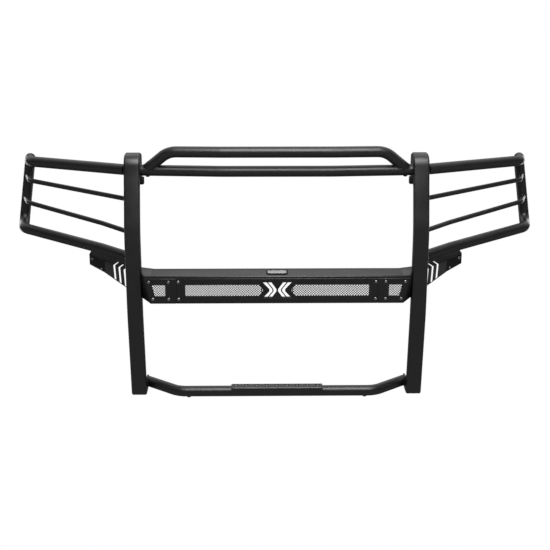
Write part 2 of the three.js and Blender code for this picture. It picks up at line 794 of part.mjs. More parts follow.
// The solid is the right-hand piece; the left-hand one is its mirror image.
function addPair(name, solid, finish, suffix = '') {
  const geometry = toGeometry(solid);
  addMesh(`${name}_right${suffix}`, geometry, finish);
  addMesh(`${name}_left${suffix}`, mirrored(geometry), finish);
}

addPair('upright', upright(), 'coat');
addPair('web_plate', webPlate(), 'coatDark');
addPair('frame_bracket', frameBracket(), 'coatDark');
addPiece('top_hoop_tube', topHoopTube(), 'coat');
addPiece('upper_cross_tube', crossTube(), 'coat');
addPiece('lower_step_tube', stepTube(), 'coat');
addPiece('step_plate', stepPlate(), 'coat');
addPair('upper_tab', upperTab(), 'coatDark');
addPiece('light_bar_housing', barHousing(), 'coat');
addPair('housing_end', housingEnd(), 'coat');
addPiece('centre_panel', centrePanel(), 'coat');
addPair('side_panel', sidePanel(), 'coat');
addPair('centre_mesh', centreMesh(), 'mesh');
addPair('side_mesh', sideMesh(), 'mesh');
addPiece('badge_plate', badgePlate(), 'fastener');
addPair('wing_hoop', wingHoop(), 'coat');
addPair('wing_rod_upper', wingRodUpper(), 'coat');
addPair('wing_rod_lower', wingRodLower(), 'coat');
addPair('pod_housing', podHousing(), 'coat');
addPair('pod_panel', podPanel(), 'coatDark');
addPair('cross_tube_plug', drainPlug(446, 83, CROSS_Z), 'plastic');
addPair('step_tube_plug', drainPlug(314.5, STEP_Y, STEP_Z), 'plastic');
CENTRE_SCREWS.forEach((place, i) => addPair('centre_screw', panelScrew(place), 'fastener', `_${i + 1}`));
SIDE_SCREWS.forEach((place, i) => addPair('side_screw', panelScrew(place), 'fastener', `_${i + 1}`));
POD_SCREWS.forEach((place, i) => addPair('pod_screw', podScrew(place), 'fastener', `_${i + 1}`));
BRACKET_HOLE_Z.forEach((z, i) => addPair('bracket_bolt', bracketBolt(z), 'fastener', `_${i + 1}`));

export default guard;
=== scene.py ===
"""Looks of a front grille guard for a pickup truck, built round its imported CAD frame.

Positions are written in the guard's working frame, in millimetres: x to the right, y back towards the truck
from the front face of the uprights, z up from their feet. at() turns them into the row frame, in metres.
"""

import math

import bmesh
import bpy
from mathutils import Matrix, Vector


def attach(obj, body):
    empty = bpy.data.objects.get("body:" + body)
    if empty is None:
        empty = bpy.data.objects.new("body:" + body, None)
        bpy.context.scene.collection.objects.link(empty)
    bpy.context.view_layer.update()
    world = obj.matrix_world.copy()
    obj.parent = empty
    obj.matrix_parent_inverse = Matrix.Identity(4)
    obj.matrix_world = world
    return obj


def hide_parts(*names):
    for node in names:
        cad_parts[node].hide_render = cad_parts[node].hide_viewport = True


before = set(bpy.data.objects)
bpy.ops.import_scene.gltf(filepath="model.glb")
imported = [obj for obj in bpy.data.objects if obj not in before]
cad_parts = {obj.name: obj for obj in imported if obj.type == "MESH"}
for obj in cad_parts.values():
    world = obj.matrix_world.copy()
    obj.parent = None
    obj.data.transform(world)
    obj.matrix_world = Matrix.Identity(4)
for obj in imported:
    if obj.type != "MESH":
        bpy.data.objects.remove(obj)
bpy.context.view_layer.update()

# ------------------------------------------------------------------ driving dimensions, mm

ORIGIN = Vector((0, 150, 210))
SHEET = 3.0

TUBE = 19.05
ROD = 8.4

UPRIGHT_X = 498.4
UPRIGHT_HALF = 27.3
UPRIGHT_WALL = 5.0
UPRIGHT_EDGE = 6.5
UPRIGHT_TOP = 874.5
UPRIGHT_ROLL = 42.0
LOW_BEND = 325.0
HIGH_BEND = 615.0
BEND_REACH = 40.0
LOW_SWEEP = math.tan(math.radians(6.9))
HIGH_LEAN = math.tan(math.radians(14.3))
WEB_FACE = UPRIGHT_X + 3.3

CROSS_Z = 819.0
HOOP_Z = 890.0
STEP_Z = 37.5
STEP_Y = -10.0
STEP_PITCH = 36.4

BAR_FRONT = -46.7
BAR_BACK = 52.0
BAR_FLOOR_BACK = 22.0
BAR_BOTTOM = 377.5
BAR_TOP = 475.5
BAR_END = 434.0
PANEL_FRONT = -50.0
PANEL_BOTTOM = 378.0
PANEL_TOP = 467.5
SEAM = 346.5
SEAM_HALF = 0.8
WINDOW_BOTTOM = 405.0
WINDOW_TOP = 444.5
CENTRE_SCREWS = [(339.5, 394), (339.5, 455)]
SIDE_SCREWS = [(373.5, 455), (441, 455), (373.5, 394), (428, 394)]

POD_SWEEP = 0.7
POD_KINK = (623.0, 431.5)
POD_END = (681.0, 450.0)
POD_DEPTH = 95.0
POD_SLOTS = [586.0, 566.0, 546.0]
POD_SLOT_WIDTH = 7.0
POD_SLOT_REACH = 66.0
POD_SLOT_LEAN = 9.0
POD_SLOT_FOOT = 3.0
POD_RIM = 2.5
POD_SCREWS = [(633, 443.5), (669, 474)]


def at(x, y, z):
    return (Vector((x, y, z)) - ORIGIN) / 1000


# ------------------------------------------------------------------ materials


def new_material(name):
    material = bpy.data.materials.new(name)
    material.use_nodes = True
    nodes = material.node_tree.nodes
    return material, nodes, material.node_tree.links, nodes["Principled BSDF"]


def noise(nodes, links, scale, detail=2.0):
    """A noise texture in the object's own coordinates; scale is in cells per metre."""
    coords = nodes.new("ShaderNodeTexCoord")
    texture = nodes.new("ShaderNodeTexNoise")
    texture.inputs["Scale"].default_value = scale
    texture.inputs["Detail"].default_value = detail
    links.new(coords.outputs["Object"], texture.inputs["Vector"])
    return texture.outputs["Fac"]


def spread(nodes, links, source, low, high):
    """Maps a noise value from its usual range onto low to high."""
    ramp = nodes.new("ShaderNodeMapRange")
    ramp.inputs["From Min"].default_value = 0.3
    ramp.inputs["From Max"].default_value = 0.7
    ramp.inputs["To Min"].default_value = low
    ramp.inputs["To Max"].default_value = high
    links.new(source, ramp.inputs["Value"])
    return ramp.outputs["Result"]


def add_bump(nodes, links, shader, layers):
    """Stacks bump layers, each given as noise scale, strength and height in metres."""
    previous = None
    for scale, strength, height in layers:
        bump = nodes.new("ShaderNodeBump")
        bump.inputs["Strength"].default_value = strength
        bump.inputs["Distance"].default_value = height
        links.new(noise(nodes, links, scale), bump.inputs["Height"])
        if previous:
            links.new(previous, bump.inputs["Normal"])
        previous = bump.outputs["Normal"]
    links.new(previous, shader.inputs["Normal"])


def painted(name, dark, light, rough, specular, peel=0.25):
    """Powder coat: two close blacks in soft clouds, uneven gloss and a fine orange peel."""
    material, nodes, links, shader = new_material(name)
    mix = nodes.new("ShaderNodeMix")
    mix.data_type = "RGBA"
    mix.inputs["A"].default_value = (*dark, 1)
    mix.inputs["B"].default_value = (*light, 1)
    links.new(spread(nodes, links, noise(nodes, links, 14, 4), 0, 1), mix.inputs["Factor"])
    links.new(mix.outputs["Result"], shader.inputs["Base Color"])
    gloss = spread(nodes, links, noise(nodes, links, 9, 5), rough - 0.04, rough + 0.05)
    links.new(gloss, shader.inputs["Roughness"])
    shader.inputs["Specular IOR Level"].default_value = specular
    add_bump(nodes, links, shader, [(700, peel, 0.00012), (2600, peel * 0.6, 0.00005)])
    return material


def metal(name, color, rough, metallic=1.0):
    """Bare or zinc-coated metal with a fine grain and patchy gloss."""
    material, nodes, links, shader = new_material(name)
    mix = nodes.new("ShaderNodeMix")
    mix.data_type = "RGBA"
    mix.inputs["A"].default_value = (*[c * 0.8 for c in color], 1)
    mix.inputs["B"].default_value = (*color, 1)
    links.new(spread(nodes, links, noise(nodes, links, 260, 3), 0, 1), mix.inputs["Factor"])
    links.new(mix.outputs["Result"], shader.inputs["Base Color"])
    gloss = spread(nodes, links, noise(nodes, links, 120, 3), rough - 0.05, rough + 0.08)
    links.new(gloss, shader.inputs["Roughness"])
    shader.inputs["Metallic"].default_value = metallic
    add_bump(nodes, links, shader, [(1800, 0.2, 0.00004)])
    return material


def plastic(name, color, rough):
    """Moulded plastic with a leather-fine texture."""
    material, nodes, links, shader = new_material(name)
    shader.inputs["Base Color"].default_value = (*color, 1)
    gloss = spread(nodes, links, noise(nodes, links, 300, 2), rough - 0.05, rough + 0.05)
    links.new(gloss, shader.inputs["Roughness"])
    shader.inputs["Specular IOR Level"].default_value = 0.35
    add_bump(nodes, links, shader, [(3500, 0.4, 0.00005)])
    return material


COAT = painted("powder_coat", (0.0035, 0.0035, 0.0037), (0.0055, 0.0055, 0.0058), 0.36, 0.5)
COAT_PANEL = painted("powder_coat_panel", (0.003, 0.003, 0.0031), (0.0048, 0.0048, 0.005), 0.42, 0.42)
# A darker, duller copy of the coat: painted shade for the parts that sit in shade inside and behind the
# uprights. The pod's end plate takes it as its darker tone.
COAT_DARK_AND_SHADE = painted("powder_coat_dark_and_painted_shade", (0.002, 0.002, 0.002), (0.004, 0.004, 0.004), 0.5, 0.3)
# A copy of the coat several times lighter for the pods' faces: painted light for the side light that their
# swept faces catch.
COAT_POD_LIT = painted("powder_coat_pod_painted_light", (0.02, 0.02, 0.0203), (0.026, 0.026, 0.0265), 0.45, 0.5)
# Dark and dull: the badge frame's own finish, and painted shade on the pods' upward faces, which lie under
# the wing tubes.
COAT_DULL_AND_SHADE = painted("powder_coat_dull_and_painted_shade", (0.003, 0.003, 0.003), (0.006, 0.006, 0.006), 0.7, 0.06)
COAT_WELD = painted("powder_coat_weld", (0.003, 0.003, 0.003), (0.005, 0.005, 0.005), 0.36, 0.5, 0.5)
MESH_WIRE = painted("mesh_coat", (0.003, 0.003, 0.003), (0.006, 0.006, 0.006), 0.4, 0.4)
BLACK_STEEL = metal("black_zinc", (0.34, 0.34, 0.345), 0.3)
SATIN_METAL = metal("satin_plate", (0.3, 0.3, 0.31), 0.45, 0.3)
PLUG = plastic("plug_plastic", (0.004, 0.004, 0.004), 0.55)

# ------------------------------------------------------------------ mesh helpers


def publish(name, bm, material, node=None, angle=32, top=None):
    """Turns a mesh into a piece that rides on the guard; top is a material for the faces that look up, used
    to paint shade on them.
    """
    bmesh.ops.recalc_face_normals(bm, faces=bm.faces)
    data = bpy.data.meshes.new(name)
    bm.to_mesh(data)
    bm.free()
    data.materials.append(material)
    # The faces that look up take the top material, which paints shade on them.
    if top:
        data.materials.append(top)
        for face in data.polygons:
            face.material_index = 1 if face.normal.z > 0.6 else 0
    data.shade_smooth()
    data.set_sharp_from_angle(angle=math.radians(angle))
    piece = bpy.data.objects.new(name, data)
    bpy.context.scene.collection.objects.link(piece)
    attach(piece, "root")
    if node:
        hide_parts(node)
    return piece


def mirror_x(bm):
    twin = bm.copy()
    bmesh.ops.scale(twin, vec=(-1, 1, 1), verts=twin.verts)
    bmesh.ops.reverse_faces(twin, faces=twin.faces)
    return twin


def publish_pair(name, bm, material, node=None, angle=32, suffix="", top=None):
    """The right piece as given, and its mirror image on the left."""
    twin = mirror_x(bm)
    for side, mesh in (("right", bm), ("left", twin)):
        stem = f"{name}_{side}{suffix}"
        target = f"{node}_{side}{suffix}" if node else None
        publish(f"{stem}_look", mesh, material, target, angle, top)


def to_bmesh(piece):
    """The object's evaluated mesh; the object itself is removed."""
    bpy.context.view_layer.update()
    graph = bpy.context.evaluated_depsgraph_get()
    data = bpy.data.meshes.new_from_object(piece.evaluated_get(graph))
    bm = bmesh.new()
    bm.from_mesh(data)
    bpy.data.objects.remove(piece)
    bpy.data.meshes.remove(data)
    return bm


def to_object(bm, name="scratch"):
    data = bpy.data.meshes.new(name)
    bm.to_mesh(data)
    bm.free()
    scratch = bpy.data.objects.new(name, data)
    bpy.context.scene.collection.objects.link(scratch)
    return scratch


def modified(bm, kind, **settings):
    scratch = to_object(bm)
    modifier = scratch.modifiers.new(kind.lower(), kind)
    for key, value in settings.items():
        setattr(modifier, key, value)
    return to_bmesh(scratch)


def carve(bm, cutters):
    """Cuts every cutter mesh out of bm."""
    bmesh.ops.recalc_face_normals(bm, faces=bm.faces)
    body = to_object(bm)
    tools = []
    for cutter in cutters:
        bmesh.ops.recalc_face_normals(cutter, faces=cutter.faces)
        tool = to_object(cutter, "cutter")
        tools.append(tool)
        modifier = body.modifiers.new("cut", "BOOLEAN")
        modifier.operation = "DIFFERENCE"
        modifier.solver = "EXACT"
        modifier.object = tool
    result = to_bmesh(body)
    for tool in tools:
        bpy.data.objects.remove(tool)
    return result


def softened(bm, width, segments=2, angle=40):
    """Rounds the hard edges with a bevel; width in mm."""
    return modified(
        bm, "BEVEL", width=width / 1000, segments=segments, limit_method="ANGLE",
        angle_limit=math.radians(angle), harden_normals=False,
    )


def rounded_edges(bm, width, segments, wanted):
    """Rounds only the edges whose middle passes the test wanted(point in mm)."""
    chosen = []
    for edge in bm.edges:
        middle = (edge.verts[0].co + edge.verts[1].co) / 2 * 1000 + ORIGIN
        if wanted(middle):
            chosen.append(edge)
    bmesh.ops.bevel(bm, geom=chosen, offset=width / 1000, segments=segments, profile=0.5, affect="EDGES")
    return bm


def join(*parts):
    """One mesh from several."""
    total = parts[0]
    for part in parts[1:]:
        data = bpy.data.meshes.new("join")
        part.to_mesh(data)
        part.free()
        total.from_mesh(data)
        bpy.data.meshes.remove(data)
    return total


def prism(outline, place):
    """A closed prism: place(u, v, side) gives the corner for side 0 and side 1."""
    bm = bmesh.new()
    ends = [[bm.verts.new(place(u, v, side)) for u, v in outline] for side in (0, 1)]
    bm.faces.new(ends[0])
    bm.faces.new(list(reversed(ends[1])))
    count = len(outline)
    for i in range(count):
        j = (i + 1) % count
        bm.faces.new((ends[0][i], ends[1][i], ends[1][j], ends[0][j]))
    return bm


def prism_y(outline, front, back, shear=None):
    """Outline in x and z, from y front to back; shear(x) adds to y."""
    offset = shear or (lambda x: 0)
    return prism(outline, lambda x, z, side: at(x, (front, back)[side] + offset(x), z))


def prism_x(outline, start, end):
    return prism(outline, lambda y, z, side: at((start, end)[side], y, z))


def prism_z(outline, low, high, shear=None):
    offset = shear or (lambda x: 0)
    return prism(outline, lambda x, y, side: at(x, y + offset(x), (low, high)[side]))


def ring(radius, sides, u=0.0, v=0.0, turn=0.5):
    steps = [2 * math.pi * (i + turn) / sides for i in range(sides)]
    return [(u + radius * math.cos(a), v + radius * math.sin(a)) for a in steps]


def arc(cu, cv, radius, start, end, steps):
    """Points of an arc in degrees, both ends included."""
    angles = [math.radians(start + (end - start) * i / steps) for i in range(steps + 1)]
    return [(cu + radius * math.cos(a), cv + radius * math.sin(a)) for a in angles]


def folded(section, start, end, spans):
    """A sheet along x; the y, z section is its outer face, and its thickness goes inward."""
    bm = bmesh.new()
    rows = []
    for i in range(spans + 1):
        x = start + (end - start) * i / spans
        rows.append([bm.verts.new(at(x, y, z)) for y, z in section])
    for a, b in zip(rows, rows[1:]):
        for k in range(len(section) - 1):
            bm.faces.new((a[k], a[k + 1], b[k + 1], b[k]))
    return modified(bm, "SOLIDIFY", thickness=SHEET / 1000, offset=-1, use_even_offset=True)


# ------------------------------------------------------------------ bent tubes


def bent_path(vertices, radius, degrees_per_step=4.0, straight_step=60.0):
    """Points along straight runs joined by arcs of one bend radius, in mm."""
    points = [Vector(v) for v in vertices]
    stops = [points[0]]
    for before, corner, after in zip(points, points[1:], points[2:]):
        into = (corner - before).normalized()
        out = (after - corner).normalized()
        turn = into.angle(out)
        reach = radius * math.tan(turn / 2)
        start = corner - into * reach
        axis = into.cross(out).normalized()
        centre = start + axis.cross(into).normalized() * radius
        steps = max(2, math.ceil(math.degrees(turn) / degrees_per_step))
        for i in range(steps + 1):
            spin = Matrix.Rotation(turn * i / steps, 3, axis)
            stops.append(centre + spin @ (start - centre))
    stops.append(points[-1])
    dense = [stops[0]]
    for a, b in zip(stops, stops[1:]):
        pieces = max(1, round((b - a).length / straight_step))
        dense += [a.lerp(b, i / pieces) for i in range(1, pieces + 1)]
    return dense


def tube(path, radius, sides=40, closed=False, wobble=None):
    """A round bar along a path; wobble(i) scales its radius at point i."""
    bm = bmesh.new()
    count = len(path)
    rings = []
    normal = None
    for i, point in enumerate(path):
        ahead = path[(i + 1) % count] if closed or i + 1 < count else point
        behind = path[i - 1] if closed or i else point
        direction = (ahead - behind).normalized()
        if normal is None:
            normal = direction.orthogonal().normalized()
        normal = (normal - direction * normal.dot(direction)).normalized()
        side = direction.cross(normal)
        size = radius * (wobble(i) if wobble else 1)
        loop = []
        for k in range(sides):
            a = 2 * math.pi * k / sides
            offset = normal * (math.cos(a) * size) + side * (math.sin(a) * size)
            loop.append(bm.verts.new(at(*(point + offset))))
        rings.append(loop)
    pairs = list(zip(rings, rings[1:]))
    if closed:
        pairs.append((rings[-1], rings[0]))
    for a, b in pairs:
        for k in range(sides):
            j = (k + 1) % sides
            bm.faces.new((a[k], a[j], b[j], b[k]))
    if not closed:
        bm.faces.new(list(reversed(rings[0])))
        bm.faces.new(rings[-1])
    return bm


def mirrored_vertices(half):
    return [(-x, y, z) for x, y, z in reversed(half)] + half


def weld(points, size=1.7):
    """A weld bead along a closed loop, with the ripple that the torch leaves."""
    loop = [Vector(p) for p in points]
    dense = []
    for a, b in zip(loop, loop[1:] + loop[:1]):
        pieces = max(1, round((b - a).length / 1.6))
        dense += [a.lerp(b, i / pieces) for i in range(pieces)]
    return tube(dense, size, 8, closed=True, wobble=lambda i: 1 + 0.14 * math.sin(i * 1.9))


def plane_weld(point, direction, radius, plane_x, size=1.7):
    """The bead where a straight tube meets the plane x = plane_x."""
    axis = Vector(direction).normalized()
    side = axis.orthogonal().normalized()
    up = axis.cross(side)
    loop = []
    for k in range(36):
        a = 2 * math.pi * k / 36
        start = Vector(point) + side * (math.cos(a) * radius) + up * (math.sin(a) * radius)
        loop.append(start + axis * ((plane_x - start.x) / axis.x))
    return weld(loop, size)


# ------------------------------------------------------------------ uprights


def front_y(z):
    if z < LOW_BEND:
        return (LOW_BEND - z) * LOW_SWEEP
    if z > HIGH_BEND:
        return (z - HIGH_BEND) * HIGH_LEAN
    return 0.0


def blend_curve(a, b, c, steps):
    """A quadratic curve from a to c with its control point at b, both ends included."""
    points = []
    for i in range(steps + 1):
        t = i / steps
        points.append(tuple(
            (1 - t) ** 2 * p + 2 * t * (1 - t) * q + t * t * r for p, q, r in zip(a, b, c)
        ))
    return points


def upright_skin_line():
    """The outline that the channel's face follows: under the foot, up the front and over the top."""
    line = [(96.0, 0.0), (60.0, 0.0)]
    toe = front_y(0)
    line += blend_curve((toe + 12, 0), (toe, 0), (front_y(12), 12), 5)
    for bend, z0, z1 in ((LOW_BEND, 12, LOW_BEND - BEND_REACH), (HIGH_BEND, 365, HIGH_BEND - BEND_REACH)):
        steps = 6
        line += [(front_y(z0 + (z1 - z0) * i / steps), z0 + (z1 - z0) * i / steps) for i in range(1, steps)]
        line += blend_curve(
            (front_y(bend - BEND_REACH), bend - BEND_REACH),
            (0, bend),
            (front_y(bend + BEND_REACH), bend + BEND_REACH), 8,
        )
    shoulder = UPRIGHT_TOP - UPRIGHT_ROLL
    line += [(front_y(z), z) for z in (700, 750, 800)]
    top = front_y(UPRIGHT_TOP - UPRIGHT_ROLL / 2)
    roof_start = (top + UPRIGHT_ROLL, UPRIGHT_TOP)
    line += blend_curve((front_y(shoulder), shoulder), (top, UPRIGHT_TOP), roof_start, 9)
    line += [(122.0, UPRIGHT_TOP)]
    return line


def upright_rear_line():
    """The free edge of the side flanges, from the top ear down to the foot."""
    rear = blend_curve((122, UPRIGHT_TOP), (142, UPRIGHT_TOP), (142, UPRIGHT_TOP - 20), 5)
    rear = [(y, z - UPRIGHT_EDGE * (1 - i / 5)) for i, (y, z) in enumerate(rear)][1:]
    rear += blend_curve((142, 792), (142, 772), (122, 772), 5)
    rear += blend_curve((front_y(772) + 34, 772), (front_y(772) + 22, 772), (front_y(760) + 22, 760), 4)
    rear += blend_curve((front_y(655) + 22, 655), (22, HIGH_BEND), (22, 575), 5)
    rear += blend_curve((22, 365), (22, LOW_BEND), (front_y(285) + 22, 285), 5)
    rear += blend_curve((front_y(76) + 22, 76), (front_y(60) + 22, 61), (front_y(60) + 36, 58), 4)
    rear += [(124, 49), (130, 45)]
    rear += blend_curve((130, 36), (130, UPRIGHT_EDGE), (96, UPRIGHT_EDGE), 6)[:-1]
    return rear


def inset(line, distance):
    """The line moved to its right-hand side, which is the channel's inside."""
    moved = []
    for i, (y, z) in enumerate(line):
        a = Vector(line[max(i - 1, 0)])
        b = Vector(line[min(i + 1, len(line) - 1)])
        along = (b - a).normalized()
        moved.append((y + along.y * distance, z - along.x * distance))
    return moved


def upright():
    line = upright_skin_line()
    steps = 5
    bm = bmesh.new()
    rows = []
    for side in (-1, 1):
        rows_here = []
        for k in range(steps + 1):
            angle = math.pi / 2 * k / steps
            depth = UPRIGHT_EDGE * (1 - math.cos(angle))
            x = UPRIGHT_X + side * (UPRIGHT_HALF - UPRIGHT_EDGE * (1 - math.sin(angle)))
            rows_here.append([bm.verts.new(at(x, y, z)) for y, z in inset(line, depth)])
        rows.append(rows_here)
    strips = list(reversed(rows[0])) + rows[1]
    for a, b in zip(strips, strips[1:]):
        for k in range(len(line) - 1):
            bm.faces.new((a[k], a[k + 1], b[k + 1], b[k]))
    for side, edge in ((-1, rows[0][-1]), (1, rows[1][-1])):
        x = UPRIGHT_X + side * UPRIGHT_HALF
        rear = [bm.verts.new(at(x, y, z)) for y, z in upright_rear_line()]
        bm.faces.new(edge + rear)
    bmesh.ops.recalc_face_normals(bm, faces=bm.faces)
    front = min(bm.faces, key=lambda f: f.calc_center_median().y)
    if front.normal.y > 0:
        bmesh.ops.reverse_faces(bm, faces=bm.faces)
    return modified(bm, "SOLIDIFY", thickness=UPRIGHT_WALL / 1000, offset=-1, use_even_offset=False)


publish_pair("upright", softened(upright(), 0.8, 2, 50), COAT, "upright", angle=28)


def web_plate():
    outline = [(125, 125), (front_y(125) + 7, 125)]
    outline += [(front_y(z) + 7, z) for z in (180, 240, 285, 325, 400, 500, 575, 615, 655, 720, 780, 834)]
    outline += [(front_y(861.5) + 44, 861.5), (125, 861.5)]
    plate = prism_x(outline, UPRIGHT_X - 3, UPRIGHT_X + 3)
    holes = [prism_x(ring(6.6, 24, 85, z), UPRIGHT_X - 10, UPRIGHT_X + 10) for z in (165, 255)]
    return softened(carve(plate, holes), 0.7)


publish_pair("web_plate", web_plate(), COAT_DARK_AND_SHADE, "web_plate")


def frame_bracket():
    radius = 8.0
    leg = [(45, 155), (70, 130), (150, 130), (150, 290), (70, 290), (45, 265)]
    plate = prism_x(leg, WEB_FACE, WEB_FACE + 6)
    edge = WEB_FACE + 40
    flange = prism_y([(WEB_FACE + 0.01, 130), (edge, 130), (edge, 290), (WEB_FACE + 0.01, 290)], 144, 150)
    holes = [prism_x(ring(6.6, 24, 85, z), WEB_FACE - 5, WEB_FACE + 12) for z in (165, 255)]
    slots = [prism_y(ring(6.6, 24, edge - 15, z), 138, 156) for z in (152, 268)]
    inner = WEB_FACE + 5.5
    gusset = prism_z([(inner, 144.5), (inner, 144 - radius * 2), (inner + radius * 2, 144.5)], 207, 213)
    plate = carve(plate, holes)
    flange = carve(flange, slots)
    return softened(join(plate, flange, gusset), 0.8)


publish_pair("frame_bracket", frame_bracket(), COAT_DARK_AND_SHADE, "frame_bracket")


def hex_bolt(z):
    """Head, washers, threaded end and nut along x."""
    y = 85
    face = WEB_FACE + 6.3
    inner = WEB_FACE - 6.6
    head = prism_x(ring(10.2, 6, y, z), face + 1.6, face + 8.5)
    washer = prism_x(ring(10.4, 28, y, z), face, face + 1.7)
    nut_washer = prism_x(ring(10.4, 28, y, z), inner - 1.7, inner)
    nut = prism_x(ring(10.2, 6, y, z, 0.2), inner - 9, inner - 1.6)
    tail = [Vector((face + 1 - 3.4 * k / 4, y, z)) for k in range(33)]
    thread = tube(tail, 5.8, 20, wobble=lambda i: 1.0 if i % 2 else 0.93)
    return softened(join(head, washer, nut_washer, nut, thread), 0.7)


for index, height in enumerate((165, 255)):
    publish_pair("bracket_bolt", hex_bolt(height), BLACK_STEEL, "bracket_bolt",
                 suffix=f"_{index + 1}")

# ------------------------------------------------------------------ tubes between the uprights

EAR_INNER = UPRIGHT_X - UPRIGHT_HALF - 0.3


def clipped(path, limit):
    """The path ended where it meets x = -limit and x = limit."""
    inside = [p for p in path if abs(p.x) < limit]
    first, last = path[0], path[-1]
    left = inside[0] + (first - inside[0]) * ((-limit - inside[0].x) / (first.x - inside[0].x))
    right = inside[-1] + (last - inside[-1]) * ((limit - inside[-1].x) / (last.x - inside[-1].x))
    return [left] + inside + [right]


cross_half = [(190, 60, CROSS_Z), (480, 86, CROSS_Z)]
cross_path = bent_path(mirrored_vertices(cross_half), 300, 1.0)
publish("upper_cross_tube_look", tube(clipped(cross_path, EAR_INNER), TUBE, 48), COAT, "upper_cross_tube")

hoop_half = [(190, 30, HOOP_Z), (371, 52, HOOP_Z - 2), (448.5, 83.2, CROSS_Z + 4)]
hoop_path = bent_path(mirrored_vertices(hoop_half), 80, 3.0)
publish("top_hoop_tube_look", tube(hoop_path, TUBE, 48), COAT, "top_hoop_tube")

step_half = [(350, STEP_Y, STEP_Z), (482, 100, STEP_Z)]
step_path = bent_path(mirrored_vertices(step_half), 76, 3.0)
publish("lower_step_tube_look", tube(clipped(step_path, EAR_INNER), TUBE, 48), COAT, "lower_step_tube")


def hoop_leg_weld():
    """The bead where the hoop's leg lands on the cross tube."""
    foot, knee = Vector(hoop_half[2]), Vector(hoop_half[1])
    axis = (foot - knee).normalized()
    cross_axis = (Vector(cross_half[1]) - Vector(cross_half[0])).normalized()
    cross_point = Vector(cross_half[0])
    side = axis.orthogonal().normalized()
    up = axis.cross(side)
    loop = []
    for k in range(48):
        a = 2 * math.pi * k / 48
        point = knee + side * (math.cos(a) * TUBE) + up * (math.sin(a) * TUBE)
        travel = 0.0
        last = math.inf
        for _ in range(400):
            offset = point + axis * travel - cross_point
            away = (offset - cross_axis * offset.dot(cross_axis)).length
            if away <= TUBE + 0.4 or away > last:
                break
            last = away
            travel += max(0.3, (away - TUBE - 0.4) * 0.7)
        loop.append(point + axis * travel)
    return weld(loop, 1.8)


publish_pair("hoop_weld", hoop_leg_weld(), COAT_WELD)
cross_direction = (290, 26, 0)
publish_pair("cross_weld", plane_weld(cross_half[1], cross_direction, TUBE, EAR_INNER - 1), COAT_WELD)
publish_pair("step_weld", plane_weld(step_half[1], (132, 110, 0), TUBE, EAR_INNER - 1), COAT_WELD)


def step_plate():
    """A folded tread over the step tube, with a row of holes that have raised rims."""
    top = STEP_Z + TUBE + 0.3 + SHEET
    front = STEP_Y - TUBE - 0.3 - SHEET
    fold = 8
    section = [(STEP_Y + 11, top), (STEP_Y + 5, top)]
    section += arc(front + fold, top - fold, fold, 90, 180, 8)
    section += [(front, STEP_Z), (front, STEP_Z - 10)]
    sheet = folded(section, -162.5, 162.5, 24)
    places = [i * STEP_PITCH for i in range(-4, 5)]
    sheet = carve(sheet, [prism_z(ring(6, 28, x, STEP_Y), top - 8, top + 8) for x in places])
    rims = []
    for x in places:
        loop = [Vector((u, v, top + 0.2)) for u, v in ring(6.9, 32, x, STEP_Y)]
        rims.append(tube(loop, 0.95, 8, closed=True))
    return join(softened(sheet, 0.6), *rims)


publish("step_plate_look", step_plate(), COAT, "step_plate")


def upper_tab():
    tab = prism_y([
        (EAR_INNER - 13.5, 776), (EAR_INNER - 9.5, 771.8), (EAR_INNER, 771.8),
        (EAR_INNER, 799.2), (EAR_INNER - 13.5, 799.2),
    ], 68, 74)
    return softened(tab, 0.8)


publish_pair("upper_tab", upper_tab(), COAT_DARK_AND_SHADE, "upper_tab")


def drain_plug(x, y, tube_z):
    """A round push-in cap with a stepped rim."""
    top = tube_z - TUBE - 0.3
    bm = bmesh.new()
    steps = [(7, 0), (7, 1.4), (6.2, 2.2), (4.6, 2.6), (3.6, 3.4), (0.3, 3.5)]
    profile = [(radius, top - drop) for radius, drop in steps]
    rings = []
    for radius, z in profile:
        rings.append([bm.verts.new(at(u, v, z)) for u, v in ring(radius, 28, x, y)])
    for a, b in zip(rings, rings[1:]):
        for k in range(28):
            bm.faces.new((a[k], a[(k + 1) % 28], b[(k + 1) % 28], b[k]))
    bm.faces.new(rings[0])
    bm.faces.new(rings[-1])
    return bm


publish_pair("cross_tube_plug", drain_plug(446, 83, CROSS_Z), PLUG, "cross_tube_plug")
publish_pair("step_tube_plug", drain_plug(314.5, STEP_Y, STEP_Z), PLUG, "step_tube_plug")

# ------------------------------------------------------------------ wings


def wing_y(x):
    return 98 + (x - 528) * 0.475


def on_wing(x, z):
    return (x, wing_y(x), z)


REAR_TOP = Vector((911, 378, CROSS_Z))
REAR_BOTTOM = Vector((948, 372, 572))
EAR_OUTER = UPRIGHT_X + UPRIGHT_HALF + 0.3
wing_vertices = [
    on_wing(EAR_OUTER, CROSS_Z), on_wing(889, CROSS_Z), tuple(REAR_TOP), tuple(REAR_BOTTOM),
    on_wing(931, 567), on_wing(625, 525), on_wing(WEB_FACE, 501.6),
]
wing_path = bent_path(wing_vertices, 45, 3.0)
publish_pair("wing_hoop", tube(wing_path, TUBE, 48), COAT, "wing_hoop")


def wing_rod(inner_z, corners, rear_z):
    along = (rear_z - REAR_TOP.z) / (REAR_BOTTOM.z - REAR_TOP.z)
    target = REAR_TOP.lerp(REAR_BOTTOM, along)
    inward = Vector((0, -TUBE * 0.9, 0))
    vertices = [on_wing(WEB_FACE, inner_z)] + [on_wing(x, z) for x, z in corners] + [tuple(target + inward)]
    return tube(bent_path(vertices, 30, 4.0), ROD, 28)


publish_pair("wing_rod_upper", wing_rod(713.9, [(896, 748.5)], 750), COAT, "wing_rod_upper")
publish_pair("wing_rod_lower", wing_rod(593.8, [(620, 619), (907, 665.5)], 667), COAT, "wing_rod_lower")

